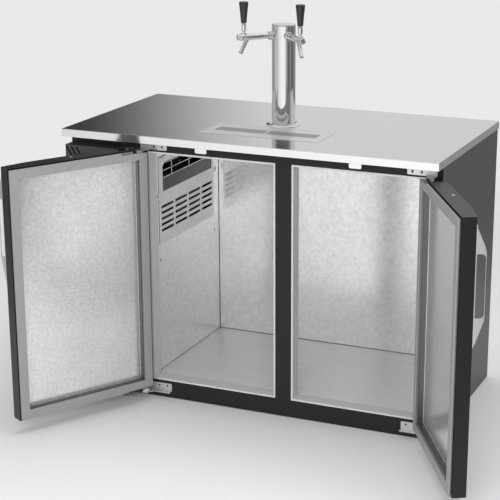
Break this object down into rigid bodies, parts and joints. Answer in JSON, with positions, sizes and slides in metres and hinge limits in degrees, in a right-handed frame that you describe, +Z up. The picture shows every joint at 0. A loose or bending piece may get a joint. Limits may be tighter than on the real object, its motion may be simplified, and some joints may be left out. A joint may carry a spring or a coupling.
{
  "type": "draft beer dispenser",
  "caption": "Counter-height draft beer cooler with a stainless top, hinged doors, a built-in drip tray and a chrome tower with faucets.",
  "frame": {"origin": "centre of the cabinet's underside, below the middle of the counter top", "axes": "+Z up, +X to the right seen from the front, -Y towards the front (the doors)"},
  "size_m": [1.5336, 1.0751, 1.307],
  "materials": {
    "stainless": "brushed",
    "black_steel": "satin",
    "galvanised": "spangled",
    "floor_steel": "satin",
    "white_trim": "matte",
    "foam": "matte",
    "tray_steel": "brushed",
    "chrome": "polished",
    "gasket": "matte",
    "black_plastic": "satin",
    "zinc": "satin",
    "nylon": "matte",
    "handle_steel": "satin",
    "copper_fin": "satin",
    "motor_black": "satin",
    "line_plastic": "gloss",
    "brass": "satin",
    "wire": "satin",
    "fan_plastic": "matte"
  },
  "bodies": {
    "cabinet": {"stainless_top": "stainless", "outer_side_left": "black_steel", "outer_side_right": "black_steel", "back_panel": "galvanised", "bottom_pan": "galvanised", "front_top_rail": "black_steel", "front_base_rail": "black_steel", "front_posts": "black_steel", "liner_left_wall": "galvanised", "liner_right_wall": "galvanised", "liner_back_wall": "galvanised", "liner_floor": "floor_steel", "liner_ceiling": "galvanised", "foam_insulation": "foam", "breaker_strips": "white_trim", "machine_partition": "galvanised", "drip_tray": "tray_steel", "tower_flange": "chrome", "tower_column": "chrome", "tap_shanks": "chrome", "coupling_nuts": "chrome", "faucet_body_left": "chrome", "faucet_body_right": "chrome", "beer_lines": "line_plastic", "hinge_brackets": "zinc", "evaporator_cover": "galvanised", "fan_guard": "wire", "evaporator_motor": "motor_black", "evaporator_coil": "copper_fin", "compressor": "motor_black", "condenser_coil": "copper_fin", "condenser_motor": "motor_black", "front_grille": "black_steel", "cabinet_screws": "zinc"},
    "left_door": {"left_door_shell": "black_steel", "left_door_foam": "foam", "left_door_liner": "galvanised", "left_door_gasket": "gasket", "left_door_handle": "handle_steel", "left_door_bushes": "nylon"},
    "right_door": {"right_door_shell": "black_steel", "right_door_foam": "foam", "right_door_liner": "galvanised", "right_door_gasket": "gasket", "right_door_handle": "handle_steel", "right_door_bushes": "nylon"},
    "left_lock": {"left_lock_cylinder": "chrome"},
    "right_lock": {"right_lock_cylinder": "chrome"},
    "left_bolt": {"left_lock_bolt": "zinc"},
    "right_bolt": {"right_lock_bolt": "zinc"},
    "left_tap": {"tap_lever_left": "chrome", "tap_handle_left": "black_plastic"},
    "right_tap": {"tap_lever_right": "chrome", "tap_handle_right": "black_plastic"},
    "left_valve": {"valve_shaft_left": "brass"},
    "right_valve": {"valve_shaft_right": "brass"},
    "drip_grille": {"drip_grille": "tray_steel"},
    "tower_cap": {"tower_cap": "chrome"},
    "evaporator_fan": {"evaporator_fan": "fan_plastic"},
    "condenser_fan": {"condenser_fan": "fan_plastic"}
  },
  "joints": [
    {"name": "left_door_hinge", "type": "hinge", "parent": "cabinet", "child": "left_door", "pos_m": [-0.366, -0.3102, 0.044], "axis": [0, 0, -1], "range_deg": [-120, 0]},
    {"name": "left_lock_turn", "type": "hinge", "parent": "left_door", "child": "left_lock", "pos_m": [-0.51328, -0.50449, 0.8225], "axis": [-0.866, 0.5, 0], "range_deg": [0, 90]},
    {"name": "left_bolt_lift", "type": "slide", "parent": "left_door", "child": "left_bolt", "axis": [0, 0, 1], "range_m": [0, 0.012]},
    {"name": "left_tap_lever", "type": "hinge", "parent": "cabinet", "child": "left_tap", "pos_m": [-0.09687, -0.09187, 1.203], "axis": [0.7071, -0.7071, 0], "range_deg": [0, 25]},
    {"name": "left_valve_slide", "type": "slide", "parent": "cabinet", "child": "left_valve", "axis": [0.7071, 0.7071, 0], "range_m": [0, 0.0054]},
    {"name": "right_door_hinge", "type": "hinge", "parent": "cabinet", "child": "right_door", "pos_m": [0.6018, -0.3102, 0.044], "axis": [0, 0, 1], "range_deg": [-120, 0]},
    {"name": "right_lock_turn", "type": "hinge", "parent": "right_door", "child": "right_lock", "pos_m": [0.74908, -0.50449, 0.8225], "axis": [0.866, 0.5, 0], "range_deg": [0, 90]},
    {"name": "right_bolt_lift", "type": "slide", "parent": "right_door", "child": "right_bolt", "axis": [0, 0, 1], "range_m": [0, 0.012]},
    {"name": "right_tap_lever", "type": "hinge", "parent": "cabinet", "child": "right_tap", "pos_m": [0.09687, -0.09187, 1.203], "axis": [0.7071, 0.7071, 0], "range_deg": [0, 25]},
    {"name": "right_valve_slide", "type": "slide", "parent": "cabinet", "child": "right_valve", "axis": [-0.7071, 0.7071, 0], "range_m": [0, 0.0054]},
    {"name": "evaporator_fan_spin", "type": "hinge", "parent": "cabinet", "child": "evaporator_fan", "pos_m": [-0.4016, 0.02, 0.72825], "axis": [1, 0, 0], "continuous": true},
    {"name": "condenser_fan_spin", "type": "hinge", "parent": "cabinet", "child": "condenser_fan", "pos_m": [-0.5169, -0.1493, 0.16], "axis": [0, 1, 0], "continuous": true},
    {"name": "drip_grille_lift", "type": "slide", "parent": "cabinet", "child": "drip_grille", "axis": [0, 0, 1], "range_m": [0, 0.06]},
    {"name": "tower_cap_lift", "type": "slide", "parent": "cabinet", "child": "tower_cap", "axis": [0, 0, 1], "range_m": [0, 0.03]}
  ],
  "couplings": [
    {"joint": "left_lock_turn", "follows": "left_bolt_lift", "rad_per_m": 130.89},
    {"joint": "left_valve_slide", "follows": "left_tap_lever", "m_per_rad": 0.012375},
    {"joint": "right_lock_turn", "follows": "right_bolt_lift", "rad_per_m": 130.89},
    {"joint": "right_valve_slide", "follows": "right_tap_lever", "m_per_rad": 0.012375}
  ]
}
